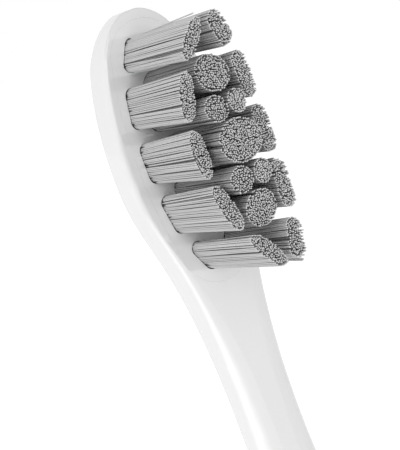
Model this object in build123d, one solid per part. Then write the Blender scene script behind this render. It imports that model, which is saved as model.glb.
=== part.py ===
from build123d import *
from math import asin, atan, cos, degrees, sqrt
import os

# Electric toothbrush head. Sizes in mm.
# +Z runs from the socket end to the tip, the bristles point along -Y, +X is the right side.
# The origin is the centre of the base rim, on the axis of the drive shaft.

# Moulded body, seen from the front
overall_length = 77.1
base_diameter = 11.6
skirt_height = 6.0
rim_bevel = 0.5
waist_width = 6.7
waist_height = 35.4
flare_pull = 12.0
neck_pull = 19.9
head_width = 12.7
widest_drop = 0.8
shoulder_pull = 8.1
crown_pull = 8.4
tip_pull = 3.95

# Moulded body, seen from the side
face_offset = 2.0
edge_crown = 0.12
waist_depth = 4.18
back_offset = 2.0
tip_round = 4.0
tip_sharpness = 6.0
tip_lean = 1.0
front_fullness = 8.5
back_fullness = 2.75
edge_blend = 26.3
facet_end_height = 31.0
facet_runout_radius = 14.0

# Sections of the body's loft, and how they crowd towards the tip
flare_sections = 6
shoulder_sections = 8
crown_sections = 10
crown_crowding = 1.5

# Tuft plate welded into the front of the head
face_rim = 1.35
tip_rim = 1.0
plate_end_radius = 3.9
plate_thickness = 1.5
plate_ledge = 0.4
weld_seam = 0.01

# Bristle bars that follow an oval near the edge of the plate, the end ones with a share of its slant
bar_width = 1.42
bar_length = 3.85
end_bar_length = 3.2
bar_gap = 1.45
end_bar_gap = 1.235
end_bar_turn = 0.82
bar_margin = 0.79
oval_overrun = 1.09
end_margin = 1.95

# Round bristle tufts down the middle
round_diameter = 2.95
centre_length = 3.45
centre_gap = 0.85
side_gap = 0.645
pair_gap = 0.41
middle_gap = 0.68

# Bristle ends: height above the face half way up the field, and the arc they are trimmed to
bar_height = 9.45
bar_trim_radius = 25.0
crown_height = 10.85
crown_trim_radius = 32.0
tuft_flare = 1.19
tuft_clearance = 0.025

# Melted roots that lock the tufts behind the plate
root_thickness = 0.6
root_overhang = 0.12

# Socket for the drive shaft
skirt_wall = 1.5
collar_depth = 5.0
flange_inset = 0.5
flange_thickness = 1.0
shaft_diameter = 3.0
key_diameter = 2.6
shaft_clearance = 0.05
socket_wall = 0.85
socket_length = 16.0
guide_length = 8.0
shaft_depth = 15.0
key_flat_offset = 0.9
press_gap = 0.02

# Leaf spring that grips the flat of the shaft
spring_width = 1.6
spring_length = 5.0
spring_thickness = 0.25
spring_bow = 0.5
spring_gap = 0.05

# Places and sizes that follow from these
inner_bar_rise = bar_length + bar_gap
outer_bar_rise = inner_bar_rise + (bar_length + end_bar_length) / 2 + end_bar_gap
plate_width = head_width - 2 * face_rim
oval_half_width = (plate_width - bar_width) / 2 - bar_margin
oval_half_length = outer_bar_rise + oval_overrun
plate_length = 2 * (oval_half_length + end_margin)
field_height = overall_length - tip_rim - plate_length / 2
widest_height = field_height - widest_drop
middle_room = 2 * oval_half_width - bar_width
centre_width = middle_room - 2 * centre_gap
pair_diameter = (middle_room - 2 * side_gap - pair_gap) / 2
pair_rise = (centre_length + pair_diameter) / 2 + middle_gap
round_rise = pair_rise + (pair_diameter + round_diameter) / 2 + middle_gap
collar_radius = base_diameter / 2 - skirt_wall
bore_radius = shaft_diameter / 2 + shaft_clearance
key_radius = key_diameter / 2 + shaft_clearance
front_y = -face_offset
guide_top = collar_depth + guide_length
key_length = shaft_depth - guide_length
spring_height = guide_top + key_length / 2
ellipse_fullness = sqrt(0.5)

# Sketch plane on the front face: local x is right, local y runs to the tip, z leaves the face.
face_plane = Plane(origin=(0, front_y, field_height), x_dir=(1, 0, 0), z_dir=(0, -1, 0))


def ease(value, start, end):
    # Smooth rise from 0 at start to 1 at end.
    t = min(1.0, max(0.0, (value - start) / (end - start)))
    return t * t * (3 - 2 * t)


def half_depth_at(z, head_offset):
    # Depth from the middle plane to the front or back, before the front is cut flat.
    base = base_diameter / 2
    waist = waist_depth / 2
    depth = base + (waist - base) * ease(z, skirt_height, facet_end_height)
    depth += (head_offset - waist) * ease(z, facet_end_height, widest_height)
    t = max(0.0, (z - (overall_length - tip_round)) / tip_round)
    return depth * (1 - t ** tip_sharpness) ** (1 / tip_sharpness)


def body_section(half_width, z):
    # Closed section of four conic arcs: an ellipse on the neck, with fuller corners on the head,
    # which leans to the face at the tip.
    crispness = ease(z, widest_height - edge_blend, widest_height)
    lean = -tip_lean * ease(z, overall_length - tip_round, overall_length)
    front = (-half_depth_at(z, face_offset + edge_crown), front_fullness)
    back = (half_depth_at(z, back_offset), back_fullness)
    quarters = ((half_width, back), (half_width, front), (-half_width, front), (-half_width, back))
    edges = []
    for x, (y, head_fullness) in quarters:
        fullness = ellipse_fullness * (head_fullness / ellipse_fullness) ** crispness
        ends = [(0, y + lean, z), (x, lean, z)]
        if x * y < 0:
            ends.reverse()
        edges.append(Bezier(ends[0], (x, y + lean, z), ends[1], weights=[1, fullness, 1]))
    return Wire(edges)


def outline_points():
    # Points (half width, height) up the right-hand outline: skirt, flare, shoulder and crown.
    base = base_diameter / 2
    waist = waist_width / 2
    head = head_width / 2
    flare = Bezier(
        (base, skirt_height),
        (base, skirt_height + flare_pull),
        (waist, waist_height - flare_pull),
        (waist, waist_height),
    )
    shoulder = Bezier(
        (waist, waist_height),
        (waist, waist_height + neck_pull),
        (head, widest_height - shoulder_pull),
        (head, widest_height),
    )
    crown = Bezier(
        (head, widest_height),
        (head, widest_height + crown_pull),
        (tip_pull, overall_length),
        (0, overall_length),
    )
    points = [Vector(base, 0)]
    points += [flare @ (i / flare_sections) for i in range(flare_sections)]
    points += [shoulder @ (i / shoulder_sections) for i in range(shoulder_sections)]
    points += [crown @ (1 - (1 - i / crown_sections) ** crown_crowding) for i in range(crown_sections)]
    return points


def make_shell():
    # Smooth outer form, lofted through sections spaced along the front outline.
    shell = Solid.make_loft([body_section(point.X, point.Y) for point in outline_points()])
    return chamfer(shell.edges().group_by(Axis.Z)[0], rim_bevel)


def front_cut():
    # Flat front of the head and neck, which runs out forwards above the flare.
    top = overall_length + face_offset
    ahead = front_y - facet_runout_radius
    low = facet_end_height - facet_runout_radius
    profile = [
        Line((front_y, top), (front_y, facet_end_height)),
        RadiusArc((front_y, facet_end_height), (ahead, low), facet_runout_radius),
        Polyline((ahead, low), (ahead, top), (front_y, top)),
    ]
    return extrude(Plane.YZ * make_face(profile), head_width, both=True)


def plate_shape(grow, depth):
    # Block behind the front face with the tuft plate's outline of four tangent arcs, grown by a margin.
    end_radius = plate_end_radius + grow
    half_width = plate_width / 2 + grow
    end_centre = plate_length / 2 - plate_end_radius
    side_radius = (half_width ** 2 + end_centre ** 2 - end_radius ** 2) / (2 * (half_width - end_radius))
    reach = side_radius - end_radius
    x = (side_radius - half_width) / reach * end_radius
    y = end_centre + end_centre / reach * end_radius
    tip = end_centre + end_radius
    outline = [
        ThreePointArc((-x, y), (0, tip), (x, y)),
        ThreePointArc((x, y), (half_width, 0), (x, -y)),
        ThreePointArc((x, -y), (0, -tip), (-x, -y)),
        ThreePointArc((-x, -y), (-half_width, 0), (-x, y)),
    ]
    return extrude(face_plane * make_face(outline), -depth)


def socket_plug(gap):
    # Sleeve with a flange at its mouth, grown by a gap.
    mouth = Pos(0, 0, collar_depth)
    sleeve = extrude(mouth * Circle(bore_radius + socket_wall + gap), socket_length)
    flange = extrude(mouth * Circle(collar_radius - flange_inset + gap), flange_thickness)
    return sleeve + flange


def make_body():
    body = make_shell() - front_cut()
    body -= plate_shape(weld_seam, plate_thickness)
    body -= plate_shape(-plate_ledge, plate_thickness + root_thickness)
    body -= extrude(Circle(collar_radius), collar_depth)
    return body - socket_plug(press_gap)


def make_socket():
    # Round guide bore, then a narrower D-shaped end with a slot for the spring behind its flat.
    guide = extrude(Pos(0, 0, collar_depth) * Circle(bore_radius), guide_length)
    key = extrude(Pos(0, 0, guide_top) * Circle(key_radius), key_length)
    flat = Box(2 * key_radius, 2 * key_radius, key_length)
    key -= Pos(0, key_flat_offset + key_radius, spring_height) * flat
    slot_width = spring_width + 2 * spring_gap
    slot_length = spring_length + 2 * spring_gap
    slot = Pos(0, key_flat_offset, spring_height) * Box(slot_width, 2 * spring_bow, slot_length)
    return socket_plug(0) - guide - key - slot


def make_spring():
    # Bowed strip that bears on the back of its slot and reaches forward to the shaft's flat.
    back = key_flat_offset + spring_bow
    front = key_flat_offset + spring_gap
    half = spring_length / 2
    ends = back - spring_thickness
    crest = front + spring_thickness
    profile = [
        ThreePointArc((back, -half), (crest, 0), (back, half)),
        Line((back, half), (ends, half)),
        ThreePointArc((ends, half), (front, 0), (ends, -half)),
        Line((ends, -half), (back, -half)),
    ]
    strip = extrude(Plane.YZ * make_face(profile), spring_width / 2, both=True)
    return Pos(0, 0, spring_height) * strip


def bar_section(width, length):
    # Bar with round ends, its long side towards the tip.
    return Rot(0, 0, 90) * SlotOverall(length, width)


def round_section(width, length):
    return Ellipse(width / 2, length / 2)


def bar_tufts():
    # Each bar's place across and along the field, turn, section, width and length.
    rises = [outer_bar_rise, inner_bar_rise, 0.0, -inner_bar_rise, -outer_bar_rise]
    tufts = {}
    for side, sign in (("left", -1), ("right", 1)):
        for i, rise in enumerate(rises):
            across = sign * oval_half_width * sqrt(1 - (rise / oval_half_length) ** 2)
            slope = oval_half_width ** 2 * rise / (oval_half_length ** 2 * across)
            length = bar_length
            turn = degrees(atan(slope))
            if abs(rise) == outer_bar_rise:
                length = end_bar_length
                turn *= end_bar_turn
            tufts[f"tuft_{side}_{i + 1}"] = (across, rise, turn, bar_section, bar_width, length)
    return tufts


def middle_tufts():
    # The same for the round tufts, from the tip end down.
    half_spacing = (pair_diameter + pair_gap) / 2
    pair = (round_section, pair_diameter, pair_diameter)
    tufts = {}
    for i, rise in ((1, round_rise), (5, -round_rise)):
        tufts[f"tuft_middle_{i}"] = (0, rise, 0, round_section, round_diameter, round_diameter)
    for i, rise in ((2, pair_rise), (4, -pair_rise)):
        for side, across in (("left", -half_spacing), ("right", half_spacing)):
            tufts[f"tuft_middle_{i}_{side}"] = (across, rise, 0, *pair)
    tufts["tuft_middle_3"] = (0, 0, 0, round_section, centre_width, centre_length)
    return tufts


def make_tuft(across, rise, turn, section, width, length, height, trim_radius):
    # Melted root behind the plate, then bristles that spread a little up to a slanted end,
    # which touches the trim arc: hollow for a positive radius, crowned for a negative one.
    tilt = asin(rise / trim_radius)
    end_height = height + trim_radius * (1 - cos(tilt))
    place = Pos(across, rise) * Rot(0, 0, turn)
    root = section(width + 2 * root_overhang, length + 2 * root_overhang)
    root = Pos(0, 0, -plate_thickness - root_thickness) * place * root
    neck = Pos(0, 0, -plate_thickness) * place * section(width, length)
    end = section(width * tuft_flare, length * tuft_flare / cos(tilt))
    end = Pos(across, rise, end_height) * Rot(degrees(tilt), 0, 0) * Rot(0, 0, turn) * end
    return face_plane * loft([root, neck, end], ruled=True)


def make_plate(tufts):
    # Plate with a hole for each tuft, as wide as the spreading bristles are at its face.
    spread = 1 + (tuft_flare - 1) * plate_thickness / (plate_thickness + bar_height)
    plate = plate_shape(0, plate_thickness)
    for across, rise, turn, section, width, length in tufts.values():
        hole = section(width * spread + 2 * tuft_clearance, length * spread + 2 * tuft_clearance)
        plate -= extrude(face_plane * Pos(across, rise) * Rot(0, 0, turn) * hole, -plate_thickness)
    return plate


def make_parts():
    bars = bar_tufts()
    middles = middle_tufts()
    parts = {
        "brush_body": make_body(),
        "tuft_plate": make_plate({**bars, **middles}),
        "shaft_socket": make_socket(),
        "shaft_spring": make_spring(),
    }
    for name, tuft in bars.items():
        parts[name] = make_tuft(*tuft, bar_height, bar_trim_radius)
    for name, tuft in middles.items():
        parts[name] = make_tuft(*tuft, crown_height, -crown_trim_radius)
    return parts


os.makedirs("parts", exist_ok=True)
for name, part in make_parts().items():
    export_step(part, f"parts/{name}.step")
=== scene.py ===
import math
import random

import bpy
from mathutils import Matrix, Vector
from mathutils.bvhtree import BVHTree


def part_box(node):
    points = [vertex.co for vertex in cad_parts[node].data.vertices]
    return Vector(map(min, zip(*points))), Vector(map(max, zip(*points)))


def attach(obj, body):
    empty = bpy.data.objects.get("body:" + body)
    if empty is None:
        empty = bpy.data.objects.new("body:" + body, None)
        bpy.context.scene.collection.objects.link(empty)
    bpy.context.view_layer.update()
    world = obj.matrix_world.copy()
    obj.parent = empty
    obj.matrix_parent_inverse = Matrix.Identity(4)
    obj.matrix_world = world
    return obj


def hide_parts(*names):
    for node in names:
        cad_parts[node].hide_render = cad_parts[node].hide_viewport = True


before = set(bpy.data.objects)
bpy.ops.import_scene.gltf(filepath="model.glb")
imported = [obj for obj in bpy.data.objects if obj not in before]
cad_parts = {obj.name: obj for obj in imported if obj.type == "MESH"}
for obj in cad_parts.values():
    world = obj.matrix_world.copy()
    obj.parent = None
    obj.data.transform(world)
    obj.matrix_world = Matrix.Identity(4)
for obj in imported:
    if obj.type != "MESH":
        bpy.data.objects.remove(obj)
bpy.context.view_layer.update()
print("frame loaded:", len(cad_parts), "nodes")

# Lengths in the dictionaries below are in millimetres, and Blender's are in metres
mm = 0.001
white = (1, 1, 1, 1)

# Places of the vector sockets of a mix node, whose names repeat
mixSockets = {"factor": 0, "first": 4, "second": 5, "result": 1}


# Small helpers for objects and node trees

def addObject(name, data):
    thing = bpy.data.objects.new(name, data)
    bpy.context.scene.collection.objects.link(thing)
    return thing


def addNode(tree, kind, **settings):
    node = tree.nodes.new(kind)
    for name, value in settings.items():
        setattr(node, name, value)
    return node


def setInputs(node, **values):
    for name, value in values.items():
        node.inputs[name.replace("_", " ")].default_value = value


def linkInputs(tree, node, **sources):
    for name, source in sources.items():
        tree.links.new(source, node.inputs[name.replace("_", " ")])


def addMath(tree, operation, *values):
    # The result of a math node on numbers and sockets.
    node = addNode(tree, "ShaderNodeMath", operation=operation)
    for socket, value in zip(node.inputs, values):
        if isinstance(value, float):
            socket.default_value = value
        else:
            tree.links.new(value, socket)
    return node.outputs[0]


def splitAxes(tree, source):
    # The X, Y and Z of a place or direction.
    split = addNode(tree, "ShaderNodeSeparateXYZ")
    linkInputs(tree, split, Vector=source)
    return split.outputs


def addGrey(tree, level):
    # A grey colour of the given level.
    colour = addNode(tree, "ShaderNodeCombineColor")
    linkInputs(tree, colour, Red=level, Green=level, Blue=level)
    return colour.outputs["Color"]


def newGroup(name, inputs, outputs):
    tree = bpy.data.node_groups.new(name, "ShaderNodeTree")
    for socketName in inputs:
        tree.interface.new_socket(socketName, in_out="INPUT", socket_type="NodeSocketFloat")
    for socketName, kind in outputs.items():
        tree.interface.new_socket(socketName, in_out="OUTPUT", socket_type=kind)
    return tree, addNode(tree, "NodeGroupInput"), addNode(tree, "NodeGroupOutput")


def placeGroup(tree, group, **values):
    node = addNode(tree, "ShaderNodeGroup", node_tree=group)
    setInputs(node, **values)
    return node


def newMaterial(name):
    material = bpy.data.materials.new(name)
    material.use_nodes = True
    return material, material.node_tree, material.node_tree.nodes["Principled BSDF"]


# Tone and skin that the moulded finishes share, with the speckle's scale per metre
toneLook = {"patchDetail": 3.0, "patchRoughness": 0.55, "patchLow": 0.3, "patchHigh": 0.7,
            "speckleScale": 2600.0, "speckleDetail": 2.0}


def makeToneGroup(look):
    # Soft patches of tone as a colour between two greys, and a fine speckle as roughness and height.
    tree, given, result = newGroup(
        "mouldTone",
        ("Patch Size", "Light", "Dark", "Gloss", "Gloss Spread"),
        {"Color": "NodeSocketColor", "Roughness": "NodeSocketFloat", "Height": "NodeSocketFloat"},
    )
    place = addNode(tree, "ShaderNodeTexCoord").outputs["Object"]
    patches = addNode(tree, "ShaderNodeTexNoise")
    setInputs(patches, Detail=look["patchDetail"], Roughness=look["patchRoughness"])
    scale = addMath(tree, "DIVIDE", 1 / mm, given.outputs["Patch Size"])
    linkInputs(tree, patches, Vector=place, Scale=scale)
    tone = addNode(tree, "ShaderNodeMapRange")
    setInputs(tone, From_Min=look["patchLow"], From_Max=look["patchHigh"])
    linkInputs(tree, tone, Value=patches.outputs["Fac"],
               To_Min=given.outputs["Dark"], To_Max=given.outputs["Light"])
    fine = addNode(tree, "ShaderNodeTexNoise")
    setInputs(fine, Scale=look["speckleScale"], Detail=look["speckleDetail"])
    linkInputs(tree, fine, Vector=place)
    speckle = fine.outputs["Fac"]
    gloss = addMath(tree, "MULTIPLY_ADD", speckle, given.outputs["Gloss Spread"], given.outputs["Gloss"])
    colour = addGrey(tree, tone.outputs["Result"])
    linkInputs(tree, result, Color=colour, Roughness=gloss, Height=speckle)
    return tree


toneGroup = makeToneGroup(toneLook)


def mouldedFinish(name, look):
    # Moulded plastic or metal: toned colour, uneven gloss and a faint skin texture.
    material, tree, shader = newMaterial(name)
    tone = placeGroup(
        tree, toneGroup, Patch_Size=look["patchSize"], Light=look["light"], Dark=look["dark"],
        Gloss=look["gloss"], Gloss_Spread=look["glossSpread"],
    )
    skin = addNode(tree, "ShaderNodeBump")
    setInputs(skin, Strength=look["skinStrength"], Distance=look["skinDepth"] * mm)
    linkInputs(tree, skin, Height=tone.outputs["Height"])
    setInputs(shader, Metallic=look["metal"], IOR=look["ior"])
    linkInputs(tree, shader, Base_Color=tone.outputs["Color"], Roughness=tone.outputs["Roughness"],
               Normal=skin.outputs["Normal"])
    return material, skin


def makeFieldGroup():
    # Mask that is 1 within an oval seen from the front and fades to 0 outside it, measured in metres.
    tree, given, result = newGroup(
        "ovalField",
        ("Half Width", "Half Length", "Height", "Fullness", "Fade"),
        {"Inside": "NodeSocketFloat"},
    )
    place = splitAxes(tree, addNode(tree, "ShaderNodeTexCoord").outputs["Object"])
    above = addMath(tree, "SUBTRACT", place["Z"], given.outputs["Height"])
    shares = []
    for distance, size in ((place["X"], "Half Width"), (above, "Half Length")):
        away = addMath(tree, "ABSOLUTE", distance)
        ratio = addMath(tree, "DIVIDE", away, given.outputs[size])
        shares.append(addMath(tree, "POWER", ratio, given.outputs["Fullness"]))
    inside = addNode(tree, "ShaderNodeMapRange", interpolation_type="SMOOTHSTEP")
    setInputs(inside, From_Min=1.0, To_Min=1.0, To_Max=0.0)
    linkInputs(tree, inside, Value=addMath(tree, "ADD", *shares),
               From_Max=addMath(tree, "ADD", 1.0, given.outputs["Fade"]))
    linkInputs(tree, result, Inside=inside.outputs["Result"])
    return tree


def softenEdges(tree, skin, look):
    # Rounds the look of the body's edges, wider round the head than on the neck, and not at all
    # round the plate, whose seam is welded flush.
    low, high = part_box("tuft_plate")
    margin = look["seamMargin"] * mm
    field = placeGroup(
        tree, makeFieldGroup(), Fullness=look["seamFullness"], Fade=look["seamFade"],
        Half_Width=(high.x - low.x) / 2 + margin, Half_Length=(high.z - low.z) / 2 + margin,
        Height=(high.z + low.z) / 2,
    )
    place = splitAxes(tree, addNode(tree, "ShaderNodeTexCoord").outputs["Object"])
    radius = addNode(tree, "ShaderNodeMapRange")
    setInputs(radius, From_Min=look["neckHeight"] * mm, From_Max=look["headHeight"] * mm,
              To_Min=look["neckEdge"] * mm, To_Max=look["headEdge"] * mm)
    linkInputs(tree, radius, Value=place["Z"])
    rounded = addNode(tree, "ShaderNodeBevel", samples=look["edgeSamples"])
    linkInputs(tree, rounded, Radius=radius.outputs["Result"])
    plain = addNode(tree, "ShaderNodeNewGeometry")
    normal = addNode(tree, "ShaderNodeMix", data_type="VECTOR")
    tree.links.new(field.outputs["Inside"], normal.inputs[mixSockets["factor"]])
    tree.links.new(rounded.outputs["Normal"], normal.inputs[mixSockets["first"]])
    tree.links.new(plain.outputs["Normal"], normal.inputs[mixSockets["second"]])
    linkInputs(tree, skin, Normal=normal.outputs[mixSockets["result"]])


# Body and plate: white glossy moulding
bodyLook = {"patchSize": 14.0, "light": 0.87, "dark": 0.85, "gloss": 0.04, "glossSpread": 0.03,
            "skinStrength": 0.03, "skinDepth": 0.01, "metal": 0.0, "ior": 2.2,
            "neckEdge": 0.15, "headEdge": 0.8, "neckHeight": 40.0, "headHeight": 56.0, "edgeSamples": 12,
            "seamMargin": 0.35, "seamFullness": 2.4, "seamFade": 0.15}

# Shaft socket: satin plastic
socketLook = {"patchSize": 6.0, "light": 0.78, "dark": 0.72, "gloss": 0.38, "glossSpread": 0.12,
              "skinStrength": 0.2, "skinDepth": 0.03, "metal": 0.0, "ior": 1.5}

# Leaf spring: steel
springLook = {"patchSize": 1.5, "light": 0.68, "dark": 0.52, "gloss": 0.26, "glossSpread": 0.15,
              "skinStrength": 0.2, "skinDepth": 0.02, "metal": 1.0, "ior": 1.5}

bodyPlastic, bodySkin = mouldedFinish("bodyPlastic", bodyLook)
softenEdges(bodyPlastic.node_tree, bodySkin, bodyLook)
socketPlastic = mouldedFinish("socketPlastic", socketLook)[0]
springSteel = mouldedFinish("springSteel", springLook)[0]


def coatNode(name, material):
    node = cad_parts[name]
    node.data.materials.clear()
    node.data.materials.append(material)


coatNode("brush_body", bodyPlastic)
coatNode("tuft_plate", bodyPlastic)
coatNode("shaft_socket", socketPlastic)
coatNode("shaft_spring", springSteel)
print("moulded pieces finished")


# Bristles: each tuft is a bundle of single filaments inside the form of its solid.
# Rings are shares of a filament's length. The dome's rings are rise and width, as shares of its radius.
bristleLook = {
    "outlineSteps": 240,
    "diameter": 0.154,
    "edgePitch": 0.160,
    "cleft": 1.4,
    "cleftShare": 0.17,
    "runSway": 0.008,
    "corePitch": 0.168,
    "coreGap": 0.12,
    "coreScatter": 0.03,
    "spareRows": 2,
    "clumpPitch": 0.7,
    "clumpPull": 0.05,
    "rootPull": 0.55,
    "pointPower": 3.0,
    "spread": 0.19,
    "aimShare": 0.8,
    "lengthScatter": 0.035,
    "lean": 0.003,
    "bow": 0.02,
    "sides": 8,
    "rings": (0.4, 0.75, 1.0),
    "dome": ((0.35, 0.88), (0.62, 0.55)),
    "rootDepth": 0.5,
    "holeDepth": 0.08,
    "holeRings": 2,
    # How far up a filament's foot the painted root shade reaches, and how dark it is
    "rootShade": 1.0,
    "rootShadeBias": 6.0,
    "rootShadeTone": 0.12,
    "light": 0.82,
    "dark": 0.65,
    # Painted shade on the sides of the filaments inside the tuft
    "coreSideShade": 0.40,
    "gloss": 0.30,
    "glossSpread": 0.15,
    "seed": 11,
}

# What differs by row: how pointed the ends are, how far they lean to the right, and the painted shade on
# the sides of the edge filaments, darkest on the middle tufts
rowLooks = {
    "left": {"point": 0.6, "lean": -0.15, "sides": 0.79},
    "right": {"point": 0.15, "lean": 0.15, "sides": 0.77},
    "middle": {"point": 0.0, "lean": 0.0, "sides": 0.54},
}

# Bars that stand straight, while the others of their row lean
straightBars = ("tuft_right_1", "tuft_right_5")

# Rounds that open or close more than the others towards their ends, by a share of their width and length
looseRounds = {
    "tuft_middle_2_left": (0.13, 0.13),
    "tuft_middle_4_left": (0.13, 0.13),
    "tuft_middle_2_right": (-0.2, 0.0),
    "tuft_middle_4_right": (-0.2, 0.0),
}

# Filaments that stand off their tuft: degrees round its edge, how far they lean, share of the length
strayFilaments = {
    "tuft_left_1": ((78, 0.03, 0.97),),
    "tuft_right_4": ((95, 0.022, 1.0), (88, 0.018, 0.98)),
    "tuft_right_5": ((-92, 0.034, 0.99), (-80, 0.03, 0.98)),
}


def makeBristleNylon(look):
    # Grey nylon: every filament has its own tone and gloss, times a painted light level: full at its cut
    # end, with painted shade down its sides and a darker painted shade at its root.
    material, tree, shader = newMaterial("bristleNylon")
    island = addNode(tree, "ShaderNodeNewGeometry").outputs["Random Per Island"]
    tone = addNode(tree, "ShaderNodeMapRange")
    setInputs(tone, To_Min=look["dark"], To_Max=look["light"])
    linkInputs(tree, tone, Value=island)
    # The mesh's painted light level darkens the sides and roots as painted shade.
    paintedLight = addNode(tree, "ShaderNodeAttribute", attribute_name="paintedLight").outputs["Fac"]
    level = addMath(tree, "MULTIPLY", tone.outputs["Result"], paintedLight)
    gloss = addNode(tree, "ShaderNodeMapRange")
    setInputs(gloss, To_Min=look["gloss"], To_Max=look["gloss"] + look["glossSpread"])
    linkInputs(tree, gloss, Value=island)
    linkInputs(tree, shader, Base_Color=addGrey(tree, level), Roughness=gloss.outputs["Result"])
    return material


bristleNylon = makeBristleNylon(bristleLook)
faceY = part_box("tuft_plate")[0].y
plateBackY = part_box("tuft_plate")[1].y


def tuftOutline(solid, centre, steps):
    # Edge of the tuft's section at the plate's face, as points round its centre.
    middle = Vector((centre.x, faceY, centre.z))
    outline = []
    for i in range(steps):
        angle = 2 * math.pi * i / steps
        spot = solid.ray_cast(middle, Vector((math.cos(angle), 0, math.sin(angle))))[0]
        outline.append(Vector((spot.x - centre.x, spot.z - centre.z)))
    return outline


def longAxis(outline):
    # Direction in which the outline is longest, and how far it reaches there.
    skew = sum(2 * spot.x * spot.y for spot in outline)
    stretch = sum(spot.x ** 2 - spot.y ** 2 for spot in outline)
    turn = math.atan2(skew, stretch) / 2
    along = Vector((math.cos(turn), math.sin(turn)))
    return along, max(abs(spot.dot(along)) for spot in outline)


def readTuft(name, look):
    # What the filaments need to know of the solid that they replace.
    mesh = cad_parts[name].data
    low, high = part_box(name)
    centre = (low + high) / 2
    corners = [vertex.co for vertex in mesh.vertices]
    solid = BVHTree.FromPolygons(corners, [face.vertices for face in mesh.polygons])
    outline = tuftOutline(solid, centre, look["outlineSteps"])
    return {
        "name": name,
        "row": rowLooks[name.split("_")[1]],
        "solid": solid,
        "centre": centre,
        "height": plateBackY - low.y,
        "outline": outline,
        "axis": longAxis(outline),
        "dice": random.Random(f"{name} {look['seed']}"),
    }


def edgeRoots(tuft, look):
    # Roots along the edge with the lean of each: close together in runs that sway together,
    # with a wider cleft between the runs.
    dice = tuft["dice"]
    outline = tuft["outline"]
    radius = look["diameter"] * mm / 2
    inset = []
    for i, spot in enumerate(outline):
        along = outline[(i + 1) % len(outline)] - outline[i - 1]
        inset.append(spot + Vector((-along.y, along.x)).normalized() * radius)
    spans = [(inset[(i + 1) % len(inset)] - inset[i]).length for i in range(len(inset))]
    number = int(sum(spans) / (look["edgePitch"] * mm))
    clefts = [dice.random() < look["cleftShare"] for i in range(number)]
    gaps = [look["cleft"] if cleft else 1.0 for cleft in clefts]
    step = sum(spans) / sum(gaps)
    roots = []
    goal = 0.0
    passed = 0.0
    i = 0
    sway = dice.gauss(0, look["runSway"])
    for gap, cleft in zip(gaps, clefts):
        while passed + spans[i] < goal:
            passed += spans[i]
            i += 1
        ahead = inset[(i + 1) % len(inset)]
        spot = inset[i].lerp(ahead, (goal - passed) / spans[i])
        roots.append((spot, (ahead - inset[i]).normalized() * sway))
        goal += gap * step
        if cleft:
            sway = dice.gauss(0, look["runSway"])
    return roots


def coreRoots(tuft, look):
    # Roots inside the edge row, in a turned and shaken honeycomb whose odd rows are half a step aside.
    dice = tuft["dice"]
    outline = tuft["outline"]
    pitch = look["corePitch"] * mm
    margin = (look["diameter"] / 2 + look["coreGap"]) * mm
    reach = max(spot.length for spot in outline)
    turn = Matrix.Rotation(dice.uniform(0, math.pi / 3), 2)
    shake = look["coreScatter"] * mm
    rows = int(reach / pitch) + look["spareRows"]
    rowRise = math.sqrt(0.75)
    roots = []
    for row in range(-rows, rows + 1):
        aside = 0.5 * (row % 2)
        for column in range(-rows, rows + 1):
            spot = turn @ Vector(((column + aside) * pitch, row * pitch * rowRise))
            spot += Vector((dice.uniform(-shake, shake), dice.uniform(-shake, shake)))
            nearest = min(outline, key=lambda other: (other - spot).length)
            if nearest.length > spot.length and (nearest - spot).length > margin:
                roots.append(spot)
    return roots


def clumpCentres(roots, dice, look):
    # Some of the roots, spread out, around which their neighbours gather.
    chosen = []
    pool = roots[:]
    dice.shuffle(pool)
    for spot in pool:
        if all((spot - other).length > look["clumpPitch"] * mm for other in chosen):
            chosen.append(spot)
    return chosen


def pointEnds(tuft, spot, look):
    # How far a filament of a bar moves in, because the bar's ends are pointed.
    along, reach = tuft["axis"]
    across = Vector((-along.y, along.x))
    share = abs(spot.dot(along)) / reach
    return across * -spot.dot(across) * tuft["row"]["point"] * share ** look["pointPower"]


def ownLean(tuft, spot):
    # How much a filament leans with its tuft: bars lean outwards, and some rounds open or close.
    name = tuft["name"]
    outward = 0.0 if name in straightBars else tuft["row"]["lean"] * mm
    wider, longer = looseRounds.get(name, (0.0, 0.0))
    return Vector((spot.x * wider + outward, spot.y * longer)) / tuft["height"]


def filamentLine(tuft, spot, pull, lean, look, share=1.0):
    # Points up one filament, from its root in the plate to the tuft's trimmed end. It looks for that end a
    # little further in than it leans, so as not to meet the side. Its painted dark root, a painted shade
    # at the foot, fades out between its second and third points.
    dice = tuft["dice"]
    centre = tuft["centre"]
    root = Vector((centre.x + spot.x, faceY + look["rootDepth"] * mm, centre.z + spot.y))
    slope = look["spread"] / tuft["height"]
    away = Vector((spot.x * slope, -1, spot.y * slope)).normalized()
    inner = Vector((away.x * look["aimShare"], away.y, away.z * look["aimShare"]))
    end = tuft["solid"].ray_cast(root, inner)[0]
    dome = look["dome"][-1][0] * look["diameter"] * mm / 2
    length = ((end - root).length - dome + dice.gauss(0, look["lengthScatter"] * mm)) * share
    sideways = dice.gauss(0, look["lean"]) + lean.x
    upwards = dice.gauss(0, look["lean"]) + lean.y
    away += Vector((sideways, 0, upwards))
    bow = Vector((dice.gauss(0, 1), 0, dice.gauss(0, 1))) * look["bow"] * mm
    # Painted shade at the root: most filaments get hardly any, a few a longer dark foot
    shade = look["rootShade"] * dice.random() ** look["rootShadeBias"]
    shadeEnds = (shade / 2 - look["holeDepth"], shade)
    atHole = [(look["rootDepth"] + above) * mm / length for above in shadeEnds]
    line = []
    for up in (0.0, *atHole, *look["rings"]):
        gather = Vector((pull.x, 0, pull.y)) * (look["rootPull"] + (1 - look["rootPull"]) * up)
        line.append(root + away * length * up + bow * math.sin(math.pi * up) + gather)
    return line


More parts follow.
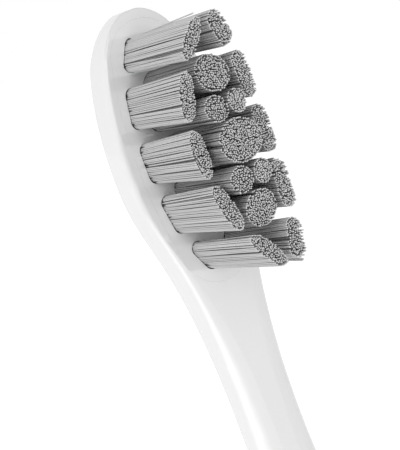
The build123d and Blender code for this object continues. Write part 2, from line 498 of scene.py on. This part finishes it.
def addFilament(bundle, line, side, look):
    # A round tube along the line, with a rounded end. The side value is the level of painted shade on its
    # sides; its first rings, in the hole of the plate, get a darker painted shade, and its rounded end is
    # painted fully lit.
    start = len(bundle["points"])
    radius = look["diameter"] * mm / 2
    sides = look["sides"]
    inHole = look["holeRings"]
    heading = (line[-1] - line[-2]).normalized()
    # Painted root shade on the rings in the hole
    rings = [(spot, 1.0, side * look["rootShadeTone"]) for spot in line[:inHole]]
    rings += [(spot, 1.0, side) for spot in line[inHole:]]
    rings += [(line[-1] + heading * radius * rise, width, 1.0) for rise, width in look["dome"]]
    for spot, width, light in rings:
        bundle["paintedLight"].extend([light] * sides)
        for i in range(sides):
            angle = 2 * math.pi * i / sides
            across = radius * width * math.cos(angle)
            upward = radius * width * math.sin(angle)
            bundle["points"].append((spot.x + across, spot.y, spot.z + upward))
    for ring in range(len(rings) - 1):
        for i in range(sides):
            a = start + ring * sides + i
            b = start + ring * sides + (i + 1) % sides
            bundle["faces"].append((a, b, b + sides, a + sides))
    top = start + (len(rings) - 1) * sides
    bundle["faces"].append(tuple(top + i for i in range(sides)))
    bundle["faces"].append(tuple(start + i for i in reversed(range(sides))))


def growFilaments(tuft, look):
    # The edge row, the core and the strays of one tuft, as one bundle, and their number.
    edge = edgeRoots(tuft, look)
    core = coreRoots(tuft, look)
    clumps = clumpCentres(core, tuft["dice"], look)
    strays = strayFilaments.get(tuft["name"], ())
    # Painted shade on the sides of the edge filaments, by row
    outerSideShade = tuft["row"]["sides"]
    bundle = {"points": [], "faces": [], "paintedLight": []}
    for spot, sway in edge:
        line = filamentLine(tuft, spot, pointEnds(tuft, spot, look), ownLean(tuft, spot) + sway, look)
        addFilament(bundle, line, outerSideShade, look)
    for spot in core:
        nearest = min(clumps, key=lambda other: (other - spot).length)
        pull = (nearest - spot) * look["clumpPull"] + pointEnds(tuft, spot, look)
        line = filamentLine(tuft, spot, pull, ownLean(tuft, spot), look)
        addFilament(bundle, line, look["coreSideShade"], look)
    for angle, lean, share in strays:
        turn = math.radians(angle)
        outward = Vector((math.cos(turn), math.sin(turn)))
        spot = max((root for root, sway in edge), key=lambda other: other.dot(outward))
        line = filamentLine(tuft, spot, Vector((0, 0)), outward * lean + ownLean(tuft, spot), look, share)
        addFilament(bundle, line, outerSideShade, look)
    return bundle, len(edge) + len(core) + len(strays)


def makeTuft(name, look):
    bundle, number = growFilaments(readTuft(name, look), look)
    mesh = bpy.data.meshes.new(f"{name}_bristles")
    mesh.from_pydata(bundle["points"], [], bundle["faces"])
    mesh.polygons.foreach_set("use_smooth", [True] * len(mesh.polygons))
    mesh.attributes.new("paintedLight", "FLOAT", "POINT").data.foreach_set("value", bundle["paintedLight"])
    mesh.materials.append(bristleNylon)
    mesh.update()
    piece = addObject(f"{name}_bristles", mesh)
    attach(piece, "root")
    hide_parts(name)
    return number


filamentCount = 0
for nodeName in sorted(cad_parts):
    if nodeName.startswith("tuft_") and nodeName != "tuft_plate":
        filamentCount += makeTuft(nodeName, bristleLook)
print("bristles made:", filamentCount, "filaments")


# Pale floor that shows as white and keeps the shadow
floorLook = {"size": 4000.0, "colour": 0.9, "roughness": 0.9, "specular": 0.1, "glow": 0.45}


def seenDirectly(tree):
    # 1 for rays from the camera, mirrored rays and rays through clear pieces, otherwise 0.
    path = addNode(tree, "ShaderNodeLightPath").outputs
    seen = addMath(tree, "MAXIMUM", path["Is Camera Ray"], path["Is Glossy Ray"])
    return addMath(tree, "MAXIMUM", seen, path["Is Transmission Ray"])


def makeFloor(look):
    half = look["size"] * mm / 2
    corners = [(-half, -half, 0), (half, -half, 0), (half, half, 0), (-half, half, 0)]
    mesh = bpy.data.meshes.new("studioFloor")
    mesh.from_pydata(corners, [], [(0, 1, 2, 3)])
    floor = addObject("studioFloor", mesh)
    material, tree, shader = newMaterial("studioFloor")
    setInputs(shader, Base_Color=(look["colour"],) * 3 + (1,), Roughness=look["roughness"],
              Specular_IOR_Level=look["specular"], Emission_Color=white)
    linkInputs(tree, shader, Emission_Strength=addMath(tree, "MULTIPLY", seenDirectly(tree), look["glow"]))
    mesh.materials.append(material)


makeFloor(floorLook)

# Soft studio light: surroundings that darken to the right, soft boxes on the left and in front,
# and a strip for the highlight on the neck. Power is in watts. The left box isn't mirrored in the gloss.
skyLook = {"left": 0.86, "right": 0.57, "shown": 1.0}
lampLooks = {
    "keyBox": {"place": (-420.0, 80.0, 30.0), "target": (0.0, 0.0, 55.0), "size": (400.0, 400.0),
               "power": 0.48, "mirrored": False},
    "frontBox": {"place": (-150.0, -500.0, 220.0), "target": (0.0, 0.0, 55.0), "size": (320.0, 320.0),
                 "power": 0.35, "mirrored": True},
    "neckStrip": {"place": (-66.0, -60.0, 11.5), "target": (-46.0, -42.0, 107.0), "size": (110.0, 62.0),
                  "power": 0.026, "mirrored": True, "fade": (0.5, 0.15)},
}
lampMiddle = 0.5


def makeSky(look):
    world = bpy.data.worlds.new("studioSky")
    world.use_nodes = True
    tree = world.node_tree
    heading = splitAxes(tree, addNode(tree, "ShaderNodeTexCoord").outputs["Generated"])
    shade = addNode(tree, "ShaderNodeMapRange")
    setInputs(shade, From_Min=-1.0, To_Min=look["left"], To_Max=look["right"])
    linkInputs(tree, shade, Value=heading["X"])
    level = addNode(tree, "ShaderNodeMapRange")
    setInputs(level, To_Max=look["shown"])
    linkInputs(tree, level, Value=seenDirectly(tree), To_Min=shade.outputs["Result"])
    back = tree.nodes["Background"]
    setInputs(back, Color=white)
    linkInputs(tree, back, Strength=level.outputs["Result"])
    bpy.context.scene.world = world


def fadeLamp(lamp, shares):
    # Fades the light towards the lamp's edges, over a share of its width and of its height.
    lamp.use_nodes = True
    tree = lamp.node_tree
    place = splitAxes(tree, addNode(tree, "ShaderNodeNewGeometry").outputs["Parametric"])
    rises = []
    for axis, share in zip(place, shares):
        rise = addNode(tree, "ShaderNodeMapRange", interpolation_type="SMOOTHSTEP")
        setInputs(rise, From_Max=share)
        linkInputs(tree, rise, Value=addMath(tree, "PINGPONG", axis, lampMiddle))
        rises.append(rise.outputs["Result"])
    linkInputs(tree, tree.nodes["Emission"], Strength=addMath(tree, "MULTIPLY", *rises))


def makeLamp(name, look):
    lamp = bpy.data.lights.new(name, "AREA")
    lamp.shape = "RECTANGLE"
    lamp.size, lamp.size_y = (side * mm for side in look["size"])
    lamp.energy = look["power"]
    if "fade" in look:
        fadeLamp(lamp, look["fade"])
    holder = addObject(name, lamp)
    holder.location = Vector(look["place"]) * mm
    holder.visible_glossy = look["mirrored"]
    aim = Vector(look["target"]) * mm - holder.location
    holder.rotation_euler = aim.to_track_quat("-Z", "Y").to_euler()


makeSky(skyLook)
for lampName, lampLook in lampLooks.items():
    makeLamp(lampName, lampLook)

# Camera at the photo's angle
cameraLook = {
    "eye": (-88.27, -157.55, 80.77),
    "forward": (0.48492, 0.86348, -0.13879),
    "up": (0.36648, -0.05654, 0.92871),
    "lens": 152.0,
    "nearest": 10.0,
}


def makeCamera(look):
    data = bpy.data.cameras.new("photoCamera")
    data.lens = look["lens"]
    data.clip_start = look["nearest"] * mm
    camera = addObject("photoCamera", data)
    forward = Vector(look["forward"]).normalized()
    right = forward.cross(Vector(look["up"])).normalized()
    up = right.cross(forward)
    turn = Matrix((right, up, -forward)).transposed().to_4x4()
    camera.matrix_world = Matrix.Translation(Vector(look["eye"]) * mm) @ turn
    bpy.context.scene.camera = camera


makeCamera(cameraLook)
bpy.context.scene.view_settings.view_transform = "Standard"
print("stage, light and camera set")
